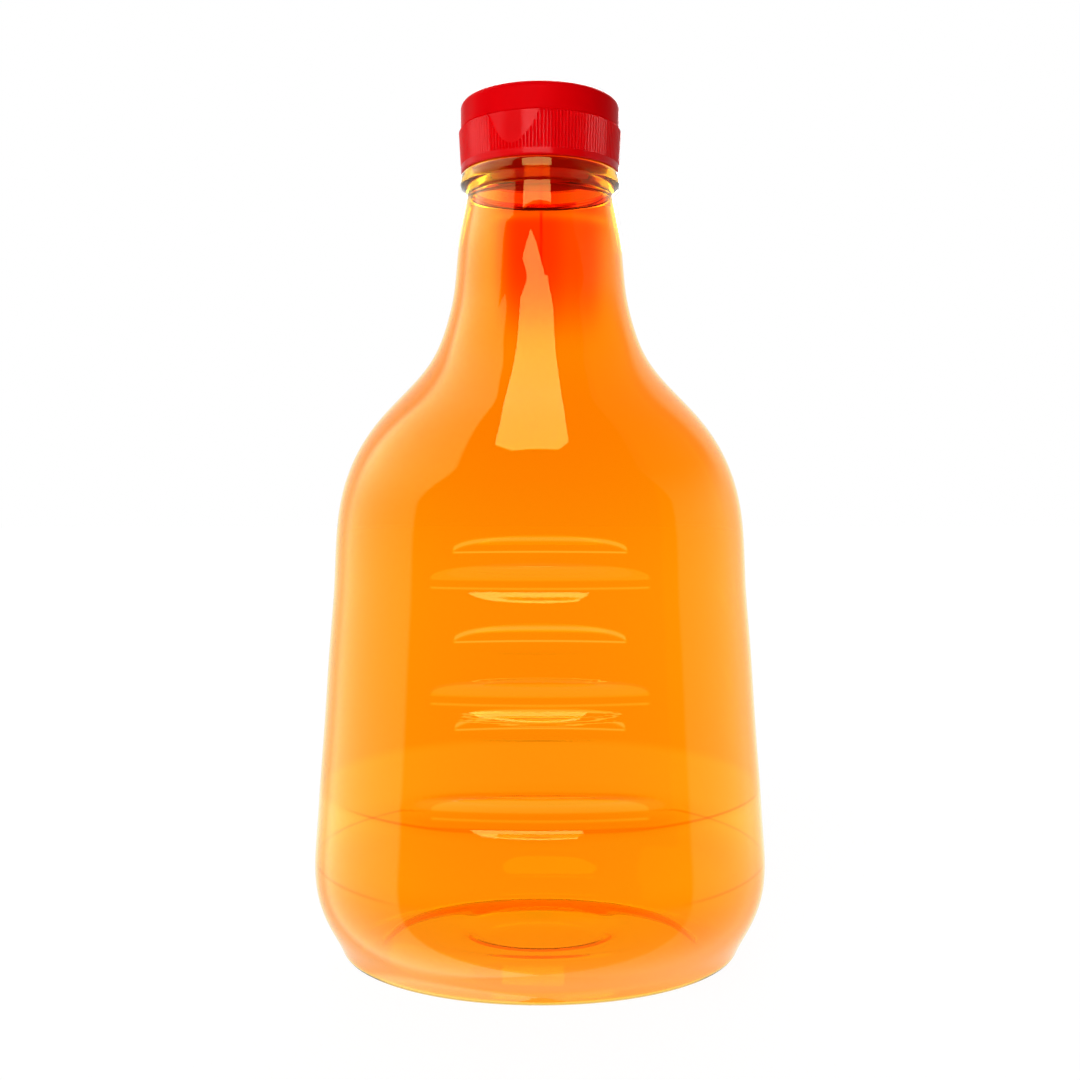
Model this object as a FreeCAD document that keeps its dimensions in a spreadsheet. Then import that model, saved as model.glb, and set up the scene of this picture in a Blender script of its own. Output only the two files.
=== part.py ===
"""Squeeze bottle of honey with a flip-top cap, as a parametric FreeCAD document.

Millimetres, +Z up, origin at the centre of the standing ring.  +X is the bottle's
right, -Y its front.  The bottle is oval in plan and runs into a round neck.
"""
import FreeCAD, Part
import os
import Sketcher

from FreeCAD import Placement, Rotation, Vector

DOC = FreeCAD.newDocument("honey_bottle")
SHEET = DOC.addObject("Spreadsheet::Sheet", "Sizes")

SIZES = [
    # body of the bottle, from the table up
    ("foot_half_width", 52.0),
    ("foot_half_depth", 31.4),
    ("foot_round", 4.0),
    ("heel_height", 9.0),
    ("heel_half_width", 55.6),
    ("heel_half_depth", 36.5),
    ("belly_height", 23.0),
    ("belly_half_width", 59.2),
    ("belly_half_depth", 42.6),
    ("side_bow", 0.35),
    ("chest_height", 118.0),
    ("chest_half_width", 51.5),
    ("chest_half_depth", 37.1),
    ("shoulder_rise", 58.0),
    ("neck_radius", 21.35),
    ("neck_taper", 0.125),
    ("neck_rise", 14.0),
    ("throat_rise", 6.2),
    ("throat_radius", 18.3),
    ("wall", 0.9),
    ("floor", 1.5),
    # neck finish that the cap closes on
    ("ring_gap", 0.8),
    ("ring_ledge", 1.7),
    ("ring_thickness", 3.0),
    ("ring_draft", 0.3),
    ("ring_round", 0.5),
    ("finish_rise", 9.1),
    ("finish_radius", 18.7),
    ("finish_wall", 2.1),
    # grip grooves across the front and the back
    ("groove_radius", 5.4),
    ("groove_spacing", 26.6),
    ("lowest_groove", 50.2),
    ("groove_depth", 2.9),
    ("groove_depth_step", 0.4),
    ("groove_bend", 150.0),
    # hollow under the base
    ("hollow_half_width", 42.0),
    ("hollow_half_depth", 23.0),
    ("hollow_slope", 5.0),
    ("hollow_rise", 5.5),
    ("dimple_half_width", 20.0),
    ("dimple_half_depth", 12.5),
    ("dimple_slope", 4.0),
    ("dimple_drop", 3.0),
    # filling, up to this far below the lip
    ("headspace", 4.5),
    # cap
    ("cap_clearance", 0.2),
    ("skirt_gap", 0.2),
    ("skirt_wall", 0.9),
    ("skirt_draft", 0.5),
    ("skirt_round", 0.5),
    ("deck_thickness", 1.5),
    ("deck_chamfer", 0.5),
    ("plain_band", 1.7),
    ("knurl_count", 150),
    ("knurl_depth", 0.35),
    ("knurl_width", 0.62),
    ("notch_angle", 19.5),
    ("notch_width", 13.2),
    ("notch_drop", 7.4),
    ("notch_depth", 0.75),
    ("lid_height", 6.7),
    ("lid_round", 1.6),
    ("lid_seam_round", 0.35),
]

# The shoulder falls from the chest to the neck: for each level, how far up the
# rise it lies and how much of the fall is still to come.
SHOULDER = [(0.17, 0.910), (0.31, 0.770), (0.45, 0.549), (0.59, 0.290), (0.73, 0.127), (0.86, 0.046)]

GROOVE_COUNT = 3
FLANK_STEPS = 6  # spans of the loft between the belly and the chest
REACH = 100.0  # how far a cutting tool runs past the part


def fill_sheet():
    for row, (alias, value) in enumerate(SIZES, start=1):
        SHEET.set("A%d" % row, alias)
        SHEET.set("B%d" % row, repr(value))
        SHEET.setAlias("B%d" % row, alias)
    DOC.recompute()


def cell(expression):
    """Turn plain size names into references to the sheet."""
    names = {alias for alias, _ in SIZES}
    out = ""
    word = ""
    for char in expression + " ":
        if char.isalnum() or char == "_":
            word += char
            continue
        out += "Sizes." + word if word in names else word
        out += char
        word = ""
    return out.strip()


def add(kind, name, **bindings):
    """Add an object and bind its properties to expressions on the sheet."""
    item = DOC.addObject(kind, name)
    for prop, expression in bindings.items():
        item.setExpression(prop.replace("__", "."), cell(expression))
    return item


def place(item, x="0", y="0", z="0", axis=None, angle=0.0):
    """Stand an object at a bound position, turned about one axis."""
    if axis:
        item.Placement = Placement(Vector(), Rotation(Vector(*axis), angle))
    for letter, expression in (("x", x), ("y", y), ("z", z)):
        item.setExpression("Placement.Base." + letter, cell(expression))
    return item


def fuse(name, parts):
    item = DOC.addObject("Part::MultiFuse", name)
    item.Shapes = parts
    return item


def cut(name, base, tool):
    item = DOC.addObject("Part::Cut", name)
    item.Base = base
    item.Tool = tool
    return item


def fillet(name, base, radius, picks):
    """Round the edges of an object that the function picks."""
    DOC.recompute()
    item = DOC.addObject("Part::Fillet", name)
    item.Base = base
    chosen = [i for i, edge in enumerate(base.Shape.Edges, start=1) if picks(edge)]
    if not chosen:
        raise RuntimeError("no edge to round on " + name)
    item.Edges = [(i, radius, radius) for i in chosen]
    return item


def value_of(expression):
    """The present value of an expression on the sheet's names; None stands for zero."""
    if expression is None:
        return 0.0
    return float(SHEET.evalExpression(cell(expression)))


def flat_edge_at(height):
    """A picker for edges that lie in one level plane."""
    def picks(edge):
        box = edge.BoundBox
        return abs(box.ZMin - height) < 1e-3 and abs(box.ZMax - height) < 1e-3
    return picks


# ---------------------------------------------------------------- bottle outline

def stations():
    """Heights and half sizes of the oval sections, as expressions, from foot to throat."""
    rise = "(chest_height - belly_height)"
    levels = [
        ("0", "foot_half_width", "foot_half_depth"),
        ("heel_height", "heel_half_width", "heel_half_depth"),
        ("belly_height", "belly_half_width", "belly_half_depth"),
    ]
    for i in range(1, FLANK_STEPS):
        part = "%d / %d" % (i, FLANK_STEPS)
        bow = "side_bow * (1 - %s)" % part
        width = "belly_half_width + (chest_half_width - belly_half_width) * %s + %s" % (part, bow)
        depth = "belly_half_depth + (chest_half_depth - belly_half_depth) * %s + %s" % (part, bow)
        levels.append(("belly_height + %s * %s" % (rise, part), width, depth))
    levels.append(("chest_height", "chest_half_width", "chest_half_depth"))
    for up, left in SHOULDER:
        height = "chest_height + shoulder_rise * %s" % up
        width = "neck_radius + (chest_half_width - neck_radius) * %s" % left
        depth = "neck_radius + (chest_half_depth - neck_radius) * %s" % left
        levels.append((height, width, depth))
    neck = "chest_height + shoulder_rise"
    upper = "neck_radius - neck_taper * neck_rise"
    throat = neck + " + neck_rise + throat_rise"
    levels.append((neck, "neck_radius", "neck_radius"))
    levels.append((neck + " + neck_rise", upper, upper))
    levels.append((throat, "throat_radius", "throat_radius"))
    return levels


RING_RADIUS = "(throat_radius + ring_ledge)"
MOUTH_RADIUS = "(finish_radius - finish_wall)"
BORE_RADIUS = "(finish_radius + cap_clearance)"
SKIRT_RADIUS = "(%s + skirt_wall)" % BORE_RADIUS
SKIRT_TOP_RADIUS = "(%s + skirt_draft)" % SKIRT_RADIUS
LID_RADIUS = SKIRT_RADIUS
THROAT = "(chest_height + shoulder_rise + neck_rise + throat_rise)"
RING_LEDGE = "(%s + ring_gap + ring_ledge)" % THROAT
RING_TOP = "(%s + ring_thickness)" % RING_LEDGE
SKIRT_BOTTOM = "(%s + skirt_gap)" % RING_TOP
LIP = "(%s + finish_rise)" % RING_TOP
SEAM = "(%s + deck_thickness)" % LIP


def oval(name, half_width, half_depth, height):
    item = add("Part::Ellipse", name, MajorRadius=half_width, MinorRadius=half_depth)
    return place(item, z=height)


def loft(name, ovals):
    item = DOC.addObject("Part::Loft", name)
    item.Sections = ovals
    item.Solid = True
    item.Ruled = False
    item.MaxDegree = 5
    return item


def body_loft(name, inset, lift):
    """Loft the oval sections, drawn in by an inset, from a floor lifted by some height."""
    ovals = []
    for i, (height, width, depth) in enumerate(stations()):
        level = height if i else lift
        ovals.append(oval("%s_oval_%d" % (name, i), width + inset, depth + inset, level))
    return loft(name, ovals)


# ---------------------------------------------------------------- grooves and base

def groove_tools(name, extra):
    """Round cutters that bend less than the body, front and back, made larger by extra."""
    up = "(lowest_groove + groove_spacing * %d - belly_height) / (chest_height - belly_height)"
    tools = []
    for i in range(GROOVE_COUNT):
        share = "(%s)" % (up % i)
        face = "(belly_half_depth + (chest_half_depth - belly_half_depth) * %s)" % share
        sunk = "(%s + side_bow * (1 - %s) - groove_depth + groove_depth_step * %d)" % (face, share, i)
        height = "lowest_groove + groove_spacing * %d" % i
        for side, centre in (("front", "groove_bend - %s"), ("back", "%s - groove_bend")):
            ring = add("Part::Torus", "%s_%s_%d" % (name, side, i), Radius1="groove_bend + groove_radius",
                       Radius2="groove_radius" + extra)
            tools.append(place(ring, y=centre % sunk, z=height))
    return fuse(name, tools)


def hollow(name, extra):
    """The oval hollow under the base with a dip in its roof; extra makes it larger all round."""
    low = oval(name + "_mouth", "hollow_half_width" + extra, "hollow_half_depth" + extra, "0")
    top = oval(name + "_roof", "hollow_half_width - hollow_slope" + extra,
               "hollow_half_depth - hollow_slope" + extra, "hollow_rise" + extra)
    main = loft(name + "_main", [low, top])
    less = extra.replace("+", "-")
    low = oval(name + "_dip_floor", "dimple_half_width - dimple_slope" + less,
               "dimple_half_depth - dimple_slope" + less, "hollow_rise - dimple_drop" + extra)
    top = oval(name + "_dip_rim", "dimple_half_width" + less, "dimple_half_depth" + less,
               "hollow_rise" + extra)
    return cut(name, main, loft(name + "_dip", [low, top]))


# ---------------------------------------------------------------- turned profiles

def plane_of(body, role):
    return next(f for f in body.Origin.OriginFeatures if f.Role == role)


def profile_sketch(body, name, role, corners):
    """A closed polygon sketch; each corner is a pair of expressions, None meaning on the axis."""
    sketch = body.newObject("Sketcher::SketchObject", name)
    sketch.AttachmentSupport = [(plane_of(body, role), "")]
    sketch.MapMode = "FlatFace"
    points = [(value_of(u), value_of(v)) for u, v in corners]
    count = len(points)
    for i in range(count):
        start = Vector(points[i][0], points[i][1], 0)
        end = Vector(points[(i + 1) % count][0], points[(i + 1) % count][1], 0)
        sketch.addGeometry(Part.LineSegment(start, end), False)
    for i in range(count):
        sketch.addConstraint(Sketcher.Constraint("Coincident", i, 2, (i + 1) % count, 1))
    for i, (u, v) in enumerate(corners):
        if u is None:
            sketch.addConstraint(Sketcher.Constraint("PointOnObject", i, 1, -2))
        else:
            index = sketch.addConstraint(Sketcher.Constraint("DistanceX", -1, 1, i, 1, points[i][0]))
            sketch.setExpression("Constraints[%d]" % index, cell(u))
        index = sketch.addConstraint(Sketcher.Constraint("DistanceY", -1, 1, i, 1, points[i][1]))
        sketch.setExpression("Constraints[%d]" % index, cell(v))
    return sketch


def turned_body(name, corners):
    body = DOC.addObject("PartDesign::Body", name)
    sketch = profile_sketch(body, name + "_profile", "XZ_Plane", corners)
    turn = body.newObject("PartDesign::Revolution", name + "_turn")
    turn.Profile = sketch
    turn.ReferenceAxis = (sketch, ["V_Axis"])
    turn.Angle = 360
    return body


def round_edges(body, name, radius, picks):
    """Round the edges of a body's last feature that the function picks."""
    DOC.recompute()
    base = body.Tip
    chosen = ["Edge%d" % i for i, edge in enumerate(base.Shape.Edges, start=1) if picks(edge)]
    item = body.newObject("PartDesign::Fillet", name)
    item.Base = (base, chosen)
    item.setExpression("Radius", cell(radius))
    return item


def ring_edge(radius, height):
    """A picker for the circle of one radius at one height."""
    at_height = flat_edge_at(height)

    def picks(edge):
        return at_height(edge) and abs(edge.BoundBox.XMax - radius) < 1e-3
    return picks


def neck_finish():
    """Neck above the throat: the bevelled support ring and the round finish up to the lip."""
    corners = [
        (None, THROAT + " - ring_gap"),
        ("throat_radius", THROAT + " - ring_gap"),
        ("throat_radius", THROAT + " + ring_gap"),
        (RING_RADIUS, RING_LEDGE),
        (RING_RADIUS + " - ring_draft", RING_TOP),
        ("finish_radius", RING_TOP),
        ("finish_radius", LIP),
        (None, LIP),
    ]
    body = turned_body("neck_finish", corners)
    edges = ring_edge(value_of(RING_RADIUS), value_of(RING_LEDGE))
    round_edges(body, "ring_edge", "ring_round", edges)
    return body


def cavity():
    """The space inside the bottle: its outline drawn in by the wall, and the mouth."""
    inner = body_loft("inner", " - wall", "floor")
    inner = fillet("inner_rounded", inner, value_of("foot_round - wall"), flat_edge_at(value_of("floor")))
    rise = "%s - %s + 2 * ring_gap" % (LIP, THROAT)  # from under the throat to over the lip
    mouth = add("Part::Cylinder", "mouth", Radius=MOUTH_RADIUS, Height=rise)
    place(mouth, z=THROAT + " - ring_gap")
    room = cut("grooved_room", fuse("plain_room", [inner, mouth]), groove_tools("ridge", " + wall"))
    return cut("room", room, hollow("bump", " + wall"))


def build_bottle(room):
    outer = body_loft("outer", "", "0")
    outer = fillet("outer_rounded", outer, value_of("foot_round"), flat_edge_at(0.0))
    outer = cut("grooved", outer, groove_tools("groove", ""))
    outer = cut("hollowed", outer, hollow("hollow", ""))
    solid = fuse("solid_bottle", [outer, neck_finish()])
    return cut("bottle", solid, room)


def build_honey(room):
    """Honey fills the bottle up into the round finish, where the cap hides its level."""
    level = LIP + " - headspace"
    above = add("Part::Box", "above_level")
    above.Height = REACH
    above.Length = 2 * REACH
    above.Width = 2 * REACH
    place(above, x=str(-REACH), y=str(-REACH), z=level)
    return cut("honey", room, above)


# ---------------------------------------------------------------- cap

def knurl_sketch(body, name, height, radius):
    """One V groove of the knurl, seen from above at a height, on the +X side."""
    corners = [
        ("%s - knurl_depth" % radius, "0"),
        ("%s + knurl_depth" % radius, "knurl_width"),
        ("%s + knurl_depth" % radius, "-knurl_width"),
    ]
    sketch = profile_sketch(body, name, "XY_Plane", corners)
    sketch.setExpression("AttachmentOffset.Base.z", cell(height))
    return sketch


def cap_blank():
    """Skirt and deck turned in one piece, with fine grooves cut round the skirt."""
    corners = [
        (BORE_RADIUS, SKIRT_BOTTOM),
        (SKIRT_RADIUS, SKIRT_BOTTOM),
        (SKIRT_TOP_RADIUS, SEAM + " - deck_chamfer"),
        (LID_RADIUS, SEAM),
        (None, SEAM),
        (None, LIP),
        (BORE_RADIUS, LIP),
    ]
    body = turned_body("cap_blank", corners)
    edge = ring_edge(value_of(SKIRT_RADIUS), value_of(SKIRT_BOTTOM))
    round_edges(body, "skirt_edge", "skirt_round", edge)
    low = SKIRT_BOTTOM + " + plain_band"
    slope = "skirt_draft / (%s - deck_chamfer - %s)" % (SEAM, SKIRT_BOTTOM)
    low_radius = "(%s + plain_band * %s)" % (SKIRT_RADIUS, slope)
    high_radius = "(%s + deck_chamfer * %s)" % (SKIRT_TOP_RADIUS, slope)
    first = knurl_sketch(body, "knurl_low", low, low_radius)
    last = knurl_sketch(body, "knurl_high", SEAM, high_radius)
    groove = body.newObject("PartDesign::SubtractiveLoft", "knurl")
    groove.Profile = first
    groove.Sections = [last]
    groove.Ruled = True
    DOC.recompute()
    around = body.newObject("PartDesign::PolarPattern", "knurls")
    around.Originals = [groove]
    around.Axis = (next(f for f in body.Origin.OriginFeatures if f.Role == "Z_Axis"), [""])
    around.Angle = 360
    around.setExpression("Occurrences", cell("knurl_count"))
    body.Tip = around
    return body


def thumb_notch():
    """Tool for the smooth parabolic thumb notch under the lid's edge, left of the front."""
    half = value_of("notch_width") / 2
    drop = value_of("notch_drop")
    seam = value_of(SEAM)
    curve = Part.BezierCurve()
    curve.setPoles([Vector(-half, 0, seam), Vector(0, 0, seam - 2 * drop), Vector(half, 0, seam)])
    rim = [Vector(half, 0, seam), Vector(half, 0, seam + drop), Vector(-half, 0, seam + drop),
           Vector(-half, 0, seam)]
    wire = Part.Wire([curve.toShape()] + Part.makePolygon(rim).Edges)
    tool = DOC.addObject("Part::Feature", "notch_prism")
    tool.Shape = Part.Face(wire).extrude(Vector(0, -REACH, 0))
    tool.Placement = Placement(Vector(), Rotation(Vector(0, 0, 1), -value_of("notch_angle")))
    core = add("Part::Cylinder", "notch_floor", Radius=SKIRT_TOP_RADIUS + " - notch_depth")
    core.Height = 2 * REACH
    place(core, z=SEAM + " - " + str(REACH))
    return cut("notch_tool", tool, core)


def build_cap_base():
    return cut("cap_base", cap_blank(), thumb_notch())


def build_flip_lid():
    top = SEAM + " + lid_height"
    corners = [(None, SEAM), (LID_RADIUS, SEAM), (LID_RADIUS, top), (None, top)]
    body = turned_body("flip_lid", corners)
    radius = value_of(LID_RADIUS)
    round_edges(body, "lid_rim", "lid_round", ring_edge(radius, value_of(top)))
    round_edges(body, "lid_seam", "lid_seam_round", ring_edge(radius, value_of(SEAM)))
    return body


# ---------------------------------------------------------------- build and write

def check():
    for item in DOC.Objects:
        if "Invalid" in item.State or "Error" in item.State:
            raise RuntimeError("%s failed: %s" % (item.Name, item.State))


def main():
    fill_sheet()
    room = cavity()
    parts = [build_bottle(room), build_honey(room), build_cap_base(), build_flip_lid()]
    DOC.recompute()
    check()
    os.makedirs("parts", exist_ok=True)
    for part in parts:
        shape = part.Shape
        if shape.isNull() or not shape.isValid() or not shape.Solids:
            raise RuntimeError("%s has no valid solid" % part.Label)
    for part in parts:
        part.Shape.exportStep("parts/%s.step" % part.Label)
        print(part.Label, "solids", len(part.Shape.Solids), "volume", round(part.Shape.Volume, 1))


main()
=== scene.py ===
"""Looks of the honey bottle: clear amber plastic, honey, and a glossy red flip-top cap.

The body's ovals are measured on the CAD bottle, so its skin follows the frame. The grooves, the
hollow of the base and the neck finish are formed again with softened edges.
"""
import math
from math import radians

import bpy
import numpy as np
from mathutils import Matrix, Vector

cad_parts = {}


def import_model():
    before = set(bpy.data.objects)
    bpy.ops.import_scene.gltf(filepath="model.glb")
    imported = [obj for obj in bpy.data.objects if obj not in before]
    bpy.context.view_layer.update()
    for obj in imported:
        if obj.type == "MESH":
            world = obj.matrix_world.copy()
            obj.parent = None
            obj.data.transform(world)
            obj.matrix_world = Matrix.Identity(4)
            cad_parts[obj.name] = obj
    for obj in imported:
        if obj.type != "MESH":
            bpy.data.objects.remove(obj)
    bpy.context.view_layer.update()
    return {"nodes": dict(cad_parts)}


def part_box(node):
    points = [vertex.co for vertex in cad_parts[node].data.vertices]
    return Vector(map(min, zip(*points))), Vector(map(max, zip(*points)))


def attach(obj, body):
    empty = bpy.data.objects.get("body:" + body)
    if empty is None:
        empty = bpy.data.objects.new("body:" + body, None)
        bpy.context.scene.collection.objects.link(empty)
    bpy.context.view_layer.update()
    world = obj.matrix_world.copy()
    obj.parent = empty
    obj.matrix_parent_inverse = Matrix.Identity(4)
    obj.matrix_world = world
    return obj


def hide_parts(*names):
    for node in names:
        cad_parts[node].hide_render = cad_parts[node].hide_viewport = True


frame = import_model()
MM = 0.001

# ------------------------------------------------------------------ sizes
BOTTLE_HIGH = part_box("bottle")[1]
HONEY_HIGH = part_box("honey")[1]
WALL = BOTTLE_HIGH.x - HONEY_HIGH.x
LIP = BOTTLE_HIGH.z
LEVEL = HONEY_HIGH.z

# neck: heights down from the lip, and radii
FINISH_RISE = 9.1 * MM
RING_THICKNESS = 3.0 * MM
RING_LEDGE = 1.7 * MM
RING_GAP = 0.8 * MM
RING_ROUND = 0.5 * MM
RING_BEVEL = 0.2 * MM
RING_RADIUS = 20.0 * MM
RING_TOP_RADIUS = 19.7 * MM
THROAT_RADIUS = 18.3 * MM
FINISH_RADIUS = 18.7 * MM
MOUTH_RADIUS = 16.6 * MM
RING_TOP = LIP - FINISH_RISE
RING_BOTTOM = RING_TOP - RING_THICKNESS
THROAT = RING_BOTTOM - RING_LEDGE - RING_GAP
# heights where the turned neck joins the body's skin, outside and inside
THROAT_START = THROAT + 0.3 * MM
MOUTH_END = THROAT + 0.4 * MM

# hollow of the base: half width, half depth and height of each corner, from the middle out
BASE_CORNERS = [
    (0.0, 0.0, 2.5 * MM),
    (16.0 * MM, 8.5 * MM, 2.5 * MM),
    (20.0 * MM, 12.5 * MM, 5.5 * MM),
    (37.0 * MM, 18.0 * MM, 5.5 * MM),
    (42.0 * MM, 23.0 * MM, 0.0),
]
BASE_SOFTENING = 16

# foot: it stands FOOT_INSET inside the oval at height FOOT_OVAL; the rings of the side start at
# height SIDE_START and lie closer together up to FOOT_ROUND
FOOT_OVAL = 0.4 * MM
FOOT_INSET = 1.2 * MM
SIDE_START = 0.35 * MM
FOOT_ROUND = 4.0 * MM

# grip grooves, lowest first: round channels whose floor bends less than the body does
GROOVE_LOWEST = 50.2 * MM
GROOVE_SPACING = 26.6 * MM
GROOVE_DEPTHS = [2.9 * MM, 2.5 * MM, 2.1 * MM]
GROOVE_RADIUS = 5.4 * MM
GROOVE_BEND = 150.0 * MM
RIM_ROUND = 0.45 * MM

# heights of the parting lines of the mould
HEEL_LINE = 27.5 * MM
BELLY_LINE = 46.6 * MM

# how far the honey reaches into the wall, so that no gap shows
INTO_WALL = 0.3 * MM

# where the CAD bottle is measured: heights, closest together where the foot curves, and the
# shares of the half width that lie clear of the grooves
SECTION_HEIGHTS = np.concatenate([
    [0.4, 1.2, 2.2, 3.4, 5.0, 7.5, 10.5, 14.0, 18.0, 23.0],
    np.linspace(29.0, 118.0, 14),
    np.linspace(123.0, THROAT / MM - 1.0, 16),
]) * MM
BESIDE_GROOVES = (0.6, 0.85)

# fineness of the meshes: points around, and distance from ring to ring
AROUND = 160
BASE_STEP = 0.8 * MM
FOOT_STEP = 0.45 * MM
SIDE_STEP = 1.5 * MM
GROOVE_STEP = 0.5 * MM
SHOULDER_STEP = 1.2 * MM
FINISH_STEP = 0.8 * MM
HONEY_TOP_STEP = 1.0 * MM


# ------------------------------------------------------------------ bottle outline
def mesh_arrays(mesh):
    """Points of a mesh, and the two ends of each edge."""
    points = np.empty(len(mesh.vertices) * 3)
    mesh.vertices.foreach_get("co", points)
    ends = np.empty(len(mesh.edges) * 2, dtype=np.int64)
    mesh.edges.foreach_get("vertices", ends)
    return points.reshape(-1, 3), ends.reshape(-1, 2)


def section_sizes(points, ends, height):
    """Half width and half depth of the CAD bottle's oval at a height."""
    start, end = points[ends[:, 0]], points[ends[:, 1]]
    crosses = (start[:, 2] - height) * (end[:, 2] - height) < 0
    start, end = start[crosses], end[crosses]
    share = (height - start[:, 2]) / (end[:, 2] - start[:, 2])
    cut = start + (end - start) * share[:, None]
    half_width = np.abs(cut[:, 0]).max()
    out = np.abs(cut[:, 0]) / half_width
    side = cut[(out > BESIDE_GROOVES[0]) & (out < BESIDE_GROOVES[1])]
    half_depths = np.abs(side[:, 1]) / np.sqrt(1 - (side[:, 0] / half_width) ** 2)
    return half_width, half_depths.max()


def spline(knots, values):
    """A natural cubic spline through the values, as a function."""
    count = len(knots)
    step = np.diff(knots)
    slope = np.diff(values) / step
    matrix = np.eye(count)
    right = np.zeros(count)
    for i in range(1, count - 1):
        matrix[i, i - 1:i + 2] = step[i - 1], 2 * (step[i - 1] + step[i]), step[i]
        right[i] = 6 * (slope[i] - slope[i - 1])
    bend = np.linalg.solve(matrix, right)

    def at(x):
        i = int(np.clip(np.searchsorted(knots, x) - 1, 0, count - 2))
        gone, left = x - knots[i], knots[i + 1] - x
        cubic = (bend[i] * left ** 3 + bend[i + 1] * gone ** 3) / (6 * step[i])
        low = (values[i] / step[i] - bend[i] * step[i] / 6) * left
        high = (values[i + 1] / step[i] - bend[i + 1] * step[i] / 6) * gone
        return cubic + low + high

    return at


def outline():
    """Functions for half width and half depth of the body between table and throat."""
    points, ends = mesh_arrays(frame["nodes"]["bottle"].data)
    sizes = np.array([section_sizes(points, ends, height) for height in SECTION_HEIGHTS])
    return spline(SECTION_HEIGHTS, sizes[:, 0]), spline(SECTION_HEIGHTS, sizes[:, 1])


def spread(start, end, spacing):
    """Even steps from start to end."""
    return list(np.linspace(start, end, max(2, int(round(abs(end - start) / spacing)) + 1)))


def between(corners, spacing):
    """Points along a line through corners, without the last corner."""
    rows = []
    for first, last in zip(corners[:-1], corners[1:]):
        for share in spread(0, 1, spacing / math.dist(first, last))[:-1]:
            rows.append(tuple(a + (b - a) * share for a, b in zip(first, last)))
    return rows


def base_rows(half_width, half_depth):
    """Rings under the base, from its centre out to the foot, with softened corners."""
    foot = (half_width(FOOT_OVAL) - FOOT_INSET, half_depth(FOOT_OVAL) - FOOT_INSET, 0.0)
    rows = np.array(between(BASE_CORNERS + [foot], BASE_STEP) + [foot])
    for _ in range(BASE_SOFTENING):
        rows[1:-1] = (rows[:-2] + 2 * rows[1:-1] + rows[2:]) / 4
    rows[:, 2] = np.maximum(rows[:, 2], 0.0)
    return [tuple(row) for row in rows]


def body_rows():
    """Half width, half depth and height of each ring of the outer skin, base centre to throat."""
    half_width, half_depth = outline()
    levels = spread(SIDE_START, FOOT_ROUND, FOOT_STEP)[:-1]
    start = FOOT_ROUND
    for i in range(len(GROOVE_DEPTHS)):
        bottom = GROOVE_LOWEST + i * GROOVE_SPACING - GROOVE_RADIUS - WALL
        top = bottom + 2 * (GROOVE_RADIUS + WALL)
        levels += spread(start, bottom, SIDE_STEP)[:-1]
        levels += spread(bottom, top, GROOVE_STEP)[:-1]
        start = top
    levels += spread(start, THROAT, SHOULDER_STEP)
    sides = [(half_width(z), half_depth(z), z) for z in levels]
    return base_rows(half_width, half_depth) + sides


# ------------------------------------------------------------------ skins
def smooth_min(a, b, blend):
    """The smaller of two values, rounded off where they meet."""
    mix = np.clip(0.5 + 0.5 * (b - a) / blend, 0, 1)
    return b + (a - b) * mix - blend * mix * (1 - mix)


def rings_of(rows, angles):
    """An oval ring of points for each row."""
    sizes = np.array(rows)
    rings = np.empty((len(rows), len(angles), 3))
    rings[:, :, 0] = sizes[:, :1] * np.sin(angles)
    rings[:, :, 1] = -sizes[:, 1:2] * np.cos(angles)
    rings[:, :, 2] = sizes[:, 2:]
    return rings


def ring_normals(rings):
    """Outward direction at each point of the rings."""
    up = np.gradient(rings, axis=0)
    around = np.roll(rings, -1, axis=1) - np.roll(rings, 1, axis=1)
    normals = np.cross(around, up)
    normals /= np.maximum(np.linalg.norm(normals, axis=2, keepdims=True), 1e-12)
    normals[0] = (0, 0, -1)
    return normals


def body_skin(rows, angles, inset):
    """The body's surface at some depth in the wall, with the grooves pressed in on both sides."""
    rings = rings_of(rows, angles)
    rings -= ring_normals(rings) * inset
    half_depths = np.array(rows)[:, 1:2]
    x, y, z = np.moveaxis(rings, 2, 0)
    out = np.abs(y)
    radius = GROOVE_RADIUS + inset
    for i, depth in enumerate(GROOVE_DEPTHS):
        rise = np.abs(z - GROOVE_LOWEST - i * GROOVE_SPACING)
        bend = radius - np.sqrt(np.maximum(radius ** 2 - rise ** 2, 0.0))
        channel = half_depths - inset - depth - x ** 2 / (2 * GROOVE_BEND) + bend
        out = np.where(rise < radius, smooth_min(out, channel, RIM_ROUND), out)
    rings[:, :, 1] = np.sign(y) * out
    return rings


def skin(name, rings):
    """A closed quad mesh over rings of points; the first and last rings shrink to a pole."""
    around = rings.shape[1]
    count = len(rings) - 2
    first, last = rings[:1].mean(axis=1), rings[-1:].mean(axis=1)
    points = np.concatenate([first, rings[1:-1].reshape(-1, 3), last])
    top = 1 + (count - 1) * around
    faces = []
    for j in range(around):
        k = (j + 1) % around
        faces.append((0, 1 + k, 1 + j))
        faces.append((len(points) - 1, top + j, top + k))
        for base in range(1, top, around):
            faces.append((base + j, base + k, base + around + k, base + around + j))
    mesh = bpy.data.meshes.new(name)
    mesh.from_pydata(points.tolist(), [], faces)
    mesh.polygons.foreach_set("use_smooth", [True] * len(mesh.polygons))
    piece = bpy.data.objects.new(name, mesh)
    bpy.context.scene.collection.objects.link(piece)
    return piece


def turned(corners, spacing):
    """Round rows from (radius, height) corners."""
    corners = [(radius, radius, height) for radius, height in corners]
    return between(corners, spacing) + corners[-1:]


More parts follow.
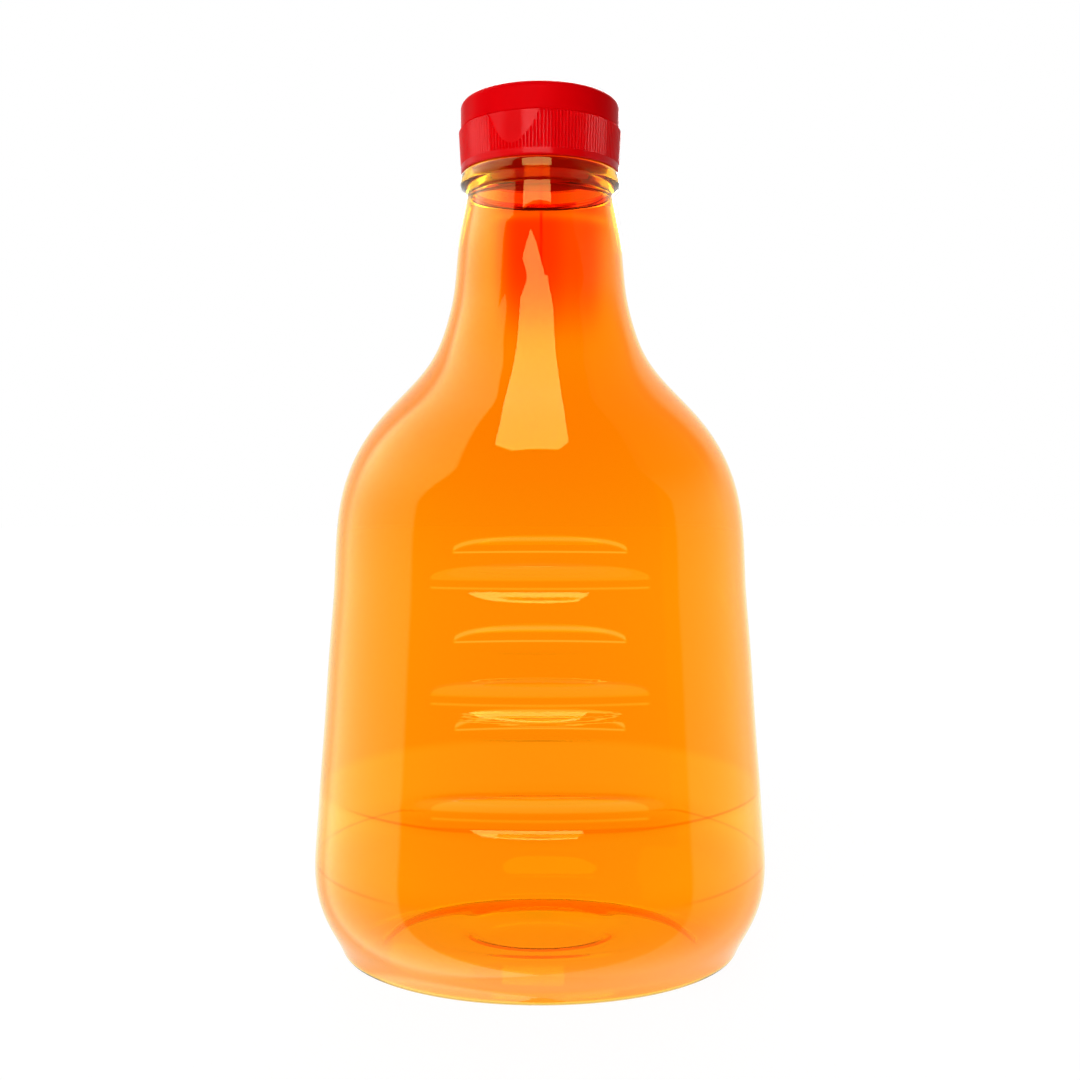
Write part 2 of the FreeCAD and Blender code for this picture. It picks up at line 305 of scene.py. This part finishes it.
def build_shell(rows, angles):
    """Outer skin, neck finish and inner skin of the bottle, in one closed mesh."""
    finish = turned([
        (THROAT_RADIUS, THROAT_START),
        (THROAT_RADIUS, THROAT + RING_GAP),
        # the lower edge of the ring is rounded
        (RING_RADIUS - RING_ROUND, RING_BOTTOM - 0.4 * RING_ROUND),
        (RING_RADIUS - 0.3 * RING_ROUND, RING_BOTTOM),
        (RING_RADIUS, RING_BOTTOM + 0.8 * RING_ROUND),
        # its upper edge is bevelled
        (RING_TOP_RADIUS, RING_TOP - RING_BEVEL),
        (RING_TOP_RADIUS - RING_BEVEL, RING_TOP),
        (FINISH_RADIUS, RING_TOP),
        (FINISH_RADIUS, LIP),
        (MOUTH_RADIUS, LIP),
        (MOUTH_RADIUS, MOUTH_END),
    ], FINISH_STEP)
    outer = body_skin(rows, angles, 0.0)
    inner = body_skin(rows, angles, WALL)[::-1]
    return skin("shell", np.concatenate([outer, rings_of(finish, angles), inner]))


def build_honey(rows, angles):
    """Honey fills the inside and reaches a little into the wall."""
    radius = MOUTH_RADIUS + INTO_WALL
    top = turned([(radius, MOUTH_END), (radius, LEVEL), (0.0, LEVEL)], HONEY_TOP_STEP)
    inside = body_skin(rows, angles, WALL - INTO_WALL)
    every_other = np.concatenate([inside, rings_of(top, angles)])[:, ::2]
    return skin("honey_fill", every_other)


# ------------------------------------------------------------------ node graphs
class Graph:
    """Shorthand for the nodes of one material or world."""

    def __init__(self, owner):
        owner.use_nodes = True
        self.nodes = owner.node_tree.nodes
        self.links = owner.node_tree.links

    def add(self, kind, **values):
        """A new node, with values or other sockets fed to its inputs by name."""
        node = self.nodes.new("ShaderNode" + kind)
        for name, value in values.items():
            self.feed(value, node.inputs[name.replace("_", " ")])
        return node

    def feed(self, value, socket):
        """Link another socket to this one, or set a plain value."""
        if hasattr(value, "links"):
            self.links.new(value, socket)
        else:
            socket.default_value = value

    def coordinates(self, kind):
        """A kind of texture coordinates as a vector, followed by its x, y and z."""
        vector = self.add("TexCoord").outputs[kind]
        return [vector, *self.add("SeparateXYZ", Vector=vector).outputs]

    def calc(self, operation, *values):
        """One maths node."""
        node = self.nodes.new("ShaderNodeMath")
        node.operation = operation
        for value, socket in zip(values, node.inputs):
            self.feed(value, socket)
        return node.outputs[0]

    def calc_all(self, operation, values):
        """A chain of maths nodes over any number of values."""
        result = values[0]
        for value in values[1:]:
            result = self.calc(operation, result, value)
        return result

    def total(self, *values):
        """The sum of values and sockets."""
        return self.calc_all("ADD", values)

    def product(self, *values):
        """Their product."""
        return self.calc_all("MULTIPLY", values)

    def largest(self, *values):
        """The largest of them."""
        return self.calc_all("MAXIMUM", values)

    def minus(self, value, other):
        """The value less the other."""
        return self.calc("SUBTRACT", value, other)

    def size_of(self, value):
        """The value without its sign."""
        return self.calc("ABSOLUTE", value)

    def ramp(self, value, start, end, low=0.0, high=1.0):
        """Run smoothly from low to high while the value goes from start to end."""
        node = self.add("MapRange", Value=value, From_Min=start, From_Max=end,
                        To_Min=low, To_Max=high)
        node.interpolation_type = "SMOOTHSTEP"
        return node.outputs[0]

    def line(self, value, centre, width):
        """1 where the value is at the centre, falling off to either side."""
        away = self.calc("DIVIDE", self.minus(value, centre), width)
        return self.calc("EXPONENT", self.product(away, away, -1.0))

    def within(self, value, low, high, edge):
        """1 between low and high, with soft edges."""
        rise = self.ramp(self.minus(value, low), -edge, edge)
        fall = self.ramp(self.minus(value, high), -edge, edge, 1.0, 0.0)
        return self.product(rise, fall)

    def mirrored(self):
        """1 for rays that some surface has mirrored."""
        path = self.add("LightPath")
        return self.calc("GREATER_THAN", path.outputs["Glossy Depth"], 0.5)

    def mix(self, share, first, second):
        """The first shader where the share is 0, the second where it is 1."""
        node = self.add("MixShader", Fac=share)
        self.links.new(first, node.inputs[1])
        self.links.new(second, node.inputs[2])
        return node.outputs[0]


def material(name):
    """A new material, its graph and its shader."""
    mat = bpy.data.materials.new(name)
    graph = Graph(mat)
    return mat, graph, graph.nodes["Principled BSDF"]


def dress(piece, mat):
    """Give a piece this material alone."""
    piece.data.materials.clear()
    piece.data.materials.append(mat)


# ------------------------------------------------------------------ bottle and honey
# what painted reflections and highlights in the grooves, and the marks of the moulding, add to the
# depth of the plastic's colour
REFLECTION_BAND_DEPTH = -0.2
HIGHLIGHT_LINE_DEPTH = -0.35
RIM_HIGHLIGHT_DEPTH = -0.6
FLOOR_HIGHLIGHT_DEPTH = -0.48
HEEL_LINE_DEPTH = 0.35
BELLY_LINE_DEPTH = 0.55
SEAM_DEPTH = 0.9

# painted highlights of the grooves: half their length, and rises of their tops above the groove's
# middle
HIGHLIGHT_HALF = 25.5 * MM
REFLECTION_BAND_RISE = 3.9 * MM
RIM_HIGHLIGHT_RISE = 3.6 * MM


def body_depth(graph, z):
    """The plastic's colour is deeper in the shoulder and heel, and palest under the grooves."""
    upper = graph.ramp(z, start=95 * MM, end=150 * MM, low=0.44, high=0.60)
    under_grooves = graph.ramp(z, start=44 * MM, end=48 * MM, low=-0.16, high=0.0)
    heel = graph.ramp(z, start=18 * MM, end=34 * MM, low=0.26, high=0.0)
    return graph.total(upper, under_grooves, heel)


def neck_depth(graph, x, z, front):
    """The neck is deep in its middle, less so to the right, and has a pale line in front; its left
    side and a band on its right stay pale as painted reflection.
    """
    # the left side is left pale and a band on the right is paled: painted reflection
    deepens = graph.ramp(x, start=-13 * MM, end=-5 * MM, low=0.0, high=0.95)
    eases = graph.ramp(x, start=2 * MM, end=8 * MM, low=0.0, high=-0.3)
    right_reflection = graph.ramp(x, start=12 * MM, end=18 * MM, low=0.0, high=-0.6)
    across = graph.total(deepens, eases, right_reflection)
    height = graph.ramp(z, start=158 * MM, end=180 * MM)
    gap = graph.product(graph.line(z, centre=188.3 * MM, width=1.3 * MM), front)
    return graph.product(height, across, graph.minus(1.0, gap))


def groove_painted_highlights(graph, x, z, front):
    """Painted highlights that pale the plastic: a band of painted reflection and a painted
    highlight line in each front groove, a painted highlight outlining each at the back.
    """
    half_spacing = GROOVE_SPACING / 2
    highest = GROOVE_LOWEST + (len(GROOVE_DEPTHS) - 1) * GROOVE_SPACING
    rise = graph.calc("WRAP", graph.minus(z, GROOVE_LOWEST), half_spacing, -half_spacing)
    out = graph.size_of(x)
    ends = graph.ramp(out, start=24.4 * MM, end=25.6 * MM, low=1.0, high=0.0)
    heights = graph.within(z, GROOVE_LOWEST - half_spacing, highest + half_spacing, edge=1 * MM)
    grooves = graph.product(ends, heights)

    # tops of the painted highlights bow down to the middle of the groove at both ends
    share = graph.calc("DIVIDE", out, HIGHLIGHT_HALF)
    left_over = graph.minus(1.0, graph.calc("POWER", share, 4.0))
    bow = graph.calc("SQRT", graph.largest(left_over, 0.0))

    # a pale band of painted reflection on the groove's upper flank, and a painted highlight line
    # below its middle
    reflection_band_top = graph.product(bow, REFLECTION_BAND_RISE)
    reflection_band = graph.within(rise, low=0.3 * MM, high=reflection_band_top, edge=0.3 * MM)
    highlight_line = graph.line(rise, centre=-1.5 * MM, width=0.25 * MM)
    front_highlights = graph.total(graph.product(reflection_band, REFLECTION_BAND_DEPTH), graph.product(highlight_line, HIGHLIGHT_LINE_DEPTH))

    # at the back, painted highlights along the upper rim and along the floor of each groove
    rim_highlight = graph.line(rise, centre=graph.product(bow, RIM_HIGHLIGHT_RISE), width=0.65 * MM)
    floor_highlight = graph.line(rise, centre=0.0, width=0.3 * MM)
    back_highlights = graph.total(graph.product(rim_highlight, RIM_HIGHLIGHT_DEPTH),
                          graph.product(floor_highlight, FLOOR_HIGHLIGHT_DEPTH))

    painted_highlights = graph.total(graph.product(front_highlights, front),
                        graph.product(back_highlights, graph.minus(1.0, front)))
    return graph.product(grooves, painted_highlights)


def mould_lines(graph, x, z, front):
    """Thin deeper lines where the parts of the mould met: heel, belly and neck."""
    heel = graph.line(z, HEEL_LINE, width=0.25 * MM)
    heel_sides = graph.ramp(graph.size_of(x), start=30 * MM, end=42 * MM)
    belly = graph.line(z, BELLY_LINE, width=0.22 * MM)
    belly_sides = graph.within(x, low=-44 * MM, high=53 * MM, edge=6 * MM)
    seam = graph.line(x, centre=0.3 * MM, width=0.25 * MM)
    seam_height = graph.ramp(z, start=170 * MM, end=185 * MM)
    return graph.total(graph.product(heel, heel_sides, HEEL_LINE_DEPTH),
                       graph.product(belly, belly_sides, front, BELLY_LINE_DEPTH),
                       graph.product(seam, seam_height, SEAM_DEPTH))


def wall_depth(graph):
    """How deep the plastic's colour is, from place to place, less where reflections and highlights
    are painted in.
    """
    _, x, y, z = graph.coordinates("Object")
    front = graph.calc("LESS_THAN", y, 0.0)
    depth = graph.total(body_depth(graph, z), neck_depth(graph, x, z, front),
                        groove_painted_highlights(graph, x, z, front), mould_lines(graph, x, z, front))
    return graph.largest(depth, 0.0)


def shell_material():
    """Clear amber plastic, which takes out blue far faster than green."""
    green_loss, blue_loss = 1.0, 7.0
    mat, graph, shader = material("amber_plastic")
    depth = wall_depth(graph)
    green = graph.calc("EXPONENT", graph.product(depth, -green_loss))
    blue = graph.calc("EXPONENT", graph.product(depth, -blue_loss))
    tint = graph.add("CombineColor", Red=1.0, Green=green, Blue=blue)
    graph.feed(tint.outputs[0], shader.inputs["Base Color"])
    shader.inputs["Transmission Weight"].default_value = 1.0
    shader.inputs["Roughness"].default_value = 0.015
    shader.inputs["IOR"].default_value = 1.43
    shader.inputs["Specular Tint"].default_value = (1.0, 0.5, 0.14, 1)
    return mat


def honey_material():
    """Clear honey: it takes a little blue and green out of the light with depth."""
    mat, graph, shader = material("clear_honey")
    shader.inputs["Base Color"].default_value = (1, 1, 1, 1)
    shader.inputs["Transmission Weight"].default_value = 1.0
    shader.inputs["Roughness"].default_value = 0.0
    shader.inputs["IOR"].default_value = 1.01
    volume = graph.add("VolumeAbsorption", Color=(1.0, 0.907, 0.88, 1), Density=60.0)
    graph.feed(volume.outputs[0], graph.nodes["Material Output"].inputs["Volume"])
    return mat


# ------------------------------------------------------------------ cap
# inside the skirt the red is painted lighter: painted light standing in for light that shines
# through the plastic
CAP_PAINTED_LIGHT_RADIUS = FINISH_RADIUS + 0.3 * MM
CAP_INWARD_PAINTED_LIGHT = 0.98


def cap_material(name, shine, roughness):
    """Glossy red plastic, barely mottled, and painted lighter inward of the skirt, where the bore
    is: painted light for light shining through the plastic.
    """
    mat, graph, shader = material(name)
    vector, x, y, _ = graph.coordinates("Object")
    grain = graph.add("TexNoise", Vector=vector, Scale=180.0)
    mottled = graph.ramp(grain.outputs[0], start=0.3, end=0.7, low=0.73, high=0.77)
    radius = graph.calc("SQRT", graph.total(graph.product(x, x), graph.product(y, y)))
    painted_glow_inward = graph.calc("LESS_THAN", radius, CAP_PAINTED_LIGHT_RADIUS)
    mottle_and_painted_light = graph.largest(mottled, graph.product(painted_glow_inward, CAP_INWARD_PAINTED_LIGHT))
    red = graph.add("CombineColor", Red=mottle_and_painted_light, Green=0.0, Blue=0.002)
    graph.feed(red.outputs[0], shader.inputs["Base Color"])
    shader.inputs["Roughness"].default_value = roughness
    shader.inputs["IOR"].default_value = 1.5
    shader.inputs["Specular IOR Level"].default_value = shine
    return mat


# ------------------------------------------------------------------ studio
# side walls: degrees from the front to their near edge, and brightness, each low and high up
LEFT_EDGE = (59, 42)
LEFT_LIGHT = (2.2, 3.8)
RIGHT_EDGE = (65, 50)
RIGHT_LIGHT = (1.25, 0.3)

# degrees up between which the edge moves and the brightness changes, and degrees of blur
EDGE_HEIGHTS = (10, 26)
LIGHT_HEIGHTS = (5, 25)
EDGE_BLUR = 1.5

BACK_LIGHT = 1.0
TABLE_LIGHT = 0.5

# the unlit front of the studio is a warm red where the bottle mirrors it
DARK_RED, DARK_GREEN, DARK_BLUE = 1.0, 0.1, 0.0

# matt surfaces: shares of front and left in the light's direction, focus, and brightness
MATTE_FRONT = 0.9
MATTE_LEFT = 0.42
MATTE_FOCUS = 4.0
MATTE_LIGHT = 3.9
MATTE_ROOM_LIGHT = 0.03

# floor: matt share of its surface, glow in general and toward matt surfaces, and place
FLOOR_MATTE = 0.12
FLOOR_GLOW = 1.085
FLOOR_TO_MATTE = 0.5
FLOOR_HALF = 1.5
FLOOR_BELOW = 0.1 * MM

# corners of the front softbox in its upright plane, across and up, in millimetres
SOFTBOX = [(-38, 210), (24, 210), (40, 226), (42, 270), (50, 340), (50, 390),
           (-90, 390), (-80, 340), (-68, 270), (-64, 226)]
SOFTBOX_AWAY = 150 * MM
SOFTBOX_LIGHT = 10.5

# corners of the flags that trim the softbox for the neck, across and up, in millimetres
FLAG_LEFT = [(-30, 178), (-12.5, 178), (-10, 184), (-5.5, 192.5), (-5.5, 203), (-30, 203)]
FLAG_RIGHT = [(2.5, 178), (20, 178), (20, 203), (-5.5, 203), (-5.5, 192.5), (-1.5, 186)]
FLAG_AWAY = 35 * MM


def side_wall(graph, turned_out, elevation, edge, light):
    """A white wall beside the bottle, from its near edge to straight behind."""
    blur = radians(EDGE_BLUR)
    near = graph.ramp(elevation, *map(radians, EDGE_HEIGHTS), *map(radians, edge))
    shown = graph.ramp(graph.minus(turned_out, near), -blur, blur)
    return graph.product(shown, graph.ramp(elevation, *map(radians, LIGHT_HEIGHTS), *light))


def studio_light(graph, x, y, z):
    """Brightness of the studio in each direction, as the bottle mirrors it."""
    azimuth = graph.calc("ARCTAN2", x, graph.product(y, -1.0))
    elevation = graph.calc("ARCSINE", z)
    left = side_wall(graph, graph.product(azimuth, -1.0), elevation, LEFT_EDGE, LEFT_LIGHT)
    right = side_wall(graph, azimuth, elevation, RIGHT_EDGE, RIGHT_LIGHT)
    behind = graph.ramp(graph.size_of(azimuth), start=radians(115), end=radians(130))
    sides = graph.product(graph.total(left, right), graph.minus(1.0, behind))
    around = graph.total(sides, graph.product(behind, BACK_LIGHT))
    table = graph.ramp(elevation, start=radians(-19), end=radians(-26), high=TABLE_LIGHT)
    ceiling = graph.ramp(elevation, start=radians(70), end=radians(80))
    return graph.largest(around, table, ceiling)


def matte_light(graph, x, y):
    """Light on matt surfaces: from the front, a little more from the left, and from behind."""
    toward = graph.total(graph.product(y, -MATTE_FRONT), graph.product(x, -MATTE_LEFT))
    facing = graph.calc("POWER", graph.largest(toward, 0.0), MATTE_FOCUS)
    from_behind = graph.largest(y, 0.0)
    return graph.total(graph.product(facing, MATTE_LIGHT), from_behind, MATTE_ROOM_LIGHT)


def world():
    """White for the camera and through the plastic, with other light for matt and mirrored rays."""
    scene = bpy.context.scene
    scene.world = bpy.data.worlds.new("studio")
    scene.world.cycles.sampling_method = "NONE"
    graph = Graph(scene.world)
    _, x, y, z = graph.coordinates("Generated")

    matte = graph.add("LightPath").outputs["Is Diffuse Ray"]
    plain = graph.total(graph.product(matte, matte_light(graph, x, y)), graph.minus(1.0, matte))
    white = graph.add("Background", Color=(1, 1, 1, 1), Strength=plain)

    light = studio_light(graph, x, y, z)
    warm = graph.add("CombineColor", Red=graph.largest(light, DARK_RED),
                     Green=graph.largest(light, DARK_GREEN), Blue=graph.largest(light, DARK_BLUE))
    studio = graph.nodes["Background"]
    graph.feed(warm.outputs[0], studio.inputs["Color"])

    seen = graph.mix(graph.mirrored(), white.outputs[0], studio.outputs[0])
    graph.feed(seen, graph.nodes["World Output"].inputs["Surface"])


def stage_piece(name, points, mat):
    """A flat piece of the studio, which the export leaves out."""
    mesh = bpy.data.meshes.new(name)
    mesh.from_pydata(points, [], [tuple(range(len(points)))])
    piece = bpy.data.objects.new(name, mesh)
    bpy.context.scene.collection.objects.link(piece)
    dress(piece, mat)
    return piece


def show_by_mirror(mat, graph, straight, mirrored):
    """Show one shader to straight rays and another to mirrored ones."""
    seen = graph.mix(graph.mirrored(), straight, mirrored)
    graph.feed(seen, graph.nodes["Material Output"].inputs["Surface"])
    mat.cycles.emission_sampling = "NONE"


def mirror_only(name, colour, strength):
    """A glow that only mirrored rays see."""
    mat, graph, _ = material(name)
    clear = graph.add("BsdfTransparent")
    glow = graph.add("Emission", Color=colour, Strength=strength)
    show_by_mirror(mat, graph, clear.outputs[0], glow.outputs[0])
    return mat


def softboxes():
    """A softbox over the camera, and one like it behind."""
    mat = mirror_only("softbox", (1, 1, 1, 1), SOFTBOX_LIGHT)
    for name, side in (("softbox_front", -1), ("softbox_back", 1)):
        corners = [(-side * x * MM, side * SOFTBOX_AWAY, z * MM) for x, z in SOFTBOX]
        stage_piece(name, corners, mat).visible_shadow = False


def flags():
    """Two dark cards close to the neck that trim the softbox's reflection there to a tip."""
    mat = mirror_only("flag", (DARK_RED, DARK_GREEN, DARK_BLUE, 1), 1.0)
    for name, card in (("flag_left", FLAG_LEFT), ("flag_right", FLAG_RIGHT)):
        corners = [(x * MM, -FLAG_AWAY, z * MM) for x, z in card]
        stage_piece(name, corners, mat).visible_shadow = False


def white_floor():
    """A white floor that keeps a faint shadow of the bottle and is never mirrored."""
    mat, graph, matte = material("white_floor")
    matte.inputs["Base Color"].default_value = (1, 1, 1, 1)
    matte.inputs["Roughness"].default_value = 1.0
    matte.inputs["Specular IOR Level"].default_value = 0.0
    matte_ray = graph.add("LightPath").outputs["Is Diffuse Ray"]
    strength = graph.total(graph.product(matte_ray, FLOOR_TO_MATTE - FLOOR_GLOW), FLOOR_GLOW)
    glow = graph.add("Emission", Strength=strength)
    clear = graph.add("BsdfTransparent")
    mixed = graph.mix(FLOOR_MATTE, glow.outputs[0], matte.outputs[0])
    show_by_mirror(mat, graph, mixed, clear.outputs[0])
    signs = [(-1, -1), (1, -1), (1, 1), (-1, 1)]
    corners = [(x * FLOOR_HALF, y * FLOOR_HALF, -FLOOR_BELOW) for x, y in signs]
    stage_piece("floor", corners, mat)


def camera():
    """The view from the front, tilted a little down."""
    tilt = radians(5)
    data = bpy.data.cameras.new("camera")
    data.lens = 35.23
    data.sensor_width = 36.0
    data.clip_start = 0.01
    piece = bpy.data.objects.new("camera", data)
    piece.location = (0.0, -0.273, 0.1338)
    piece.rotation_euler = (math.pi / 2 - tilt, 0, 0)
    bpy.context.scene.collection.objects.link(piece)
    bpy.context.scene.camera = piece


def settings():
    """Plain colours, and enough bounces for light to cross the walls and the honey."""
    scene = bpy.context.scene
    scene.view_settings.view_transform = "Standard"
    scene.cycles.max_bounces = 32
    scene.cycles.transmission_bounces = 32
    scene.cycles.glossy_bounces = 16
    scene.cycles.transparent_max_bounces = 32


# ------------------------------------------------------------------ assembly
def belongs(piece, node, mat):
    """Let a piece take the place of a CAD node."""
    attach(piece, "root")
    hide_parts(node)
    dress(piece, mat)


def bottle():
    """The shell and the honey, in place of the CAD bottle and its filling."""
    angles = np.linspace(0, 2 * math.pi, AROUND, endpoint=False)
    rows = body_rows()
    belongs(build_shell(rows, angles), "bottle", shell_material())
    belongs(build_honey(rows, angles), "honey", honey_material())


def cap():
    """The cap is the CAD's own solids in red plastic."""
    dress(frame["nodes"]["cap_base"], cap_material("red_skirt", shine=0.07, roughness=0.16))
    dress(frame["nodes"]["flip_lid"], cap_material("red_lid", shine=0.01, roughness=0.25))


bottle()
cap()
world()
softboxes()
flags()
white_floor()
camera()
settings()
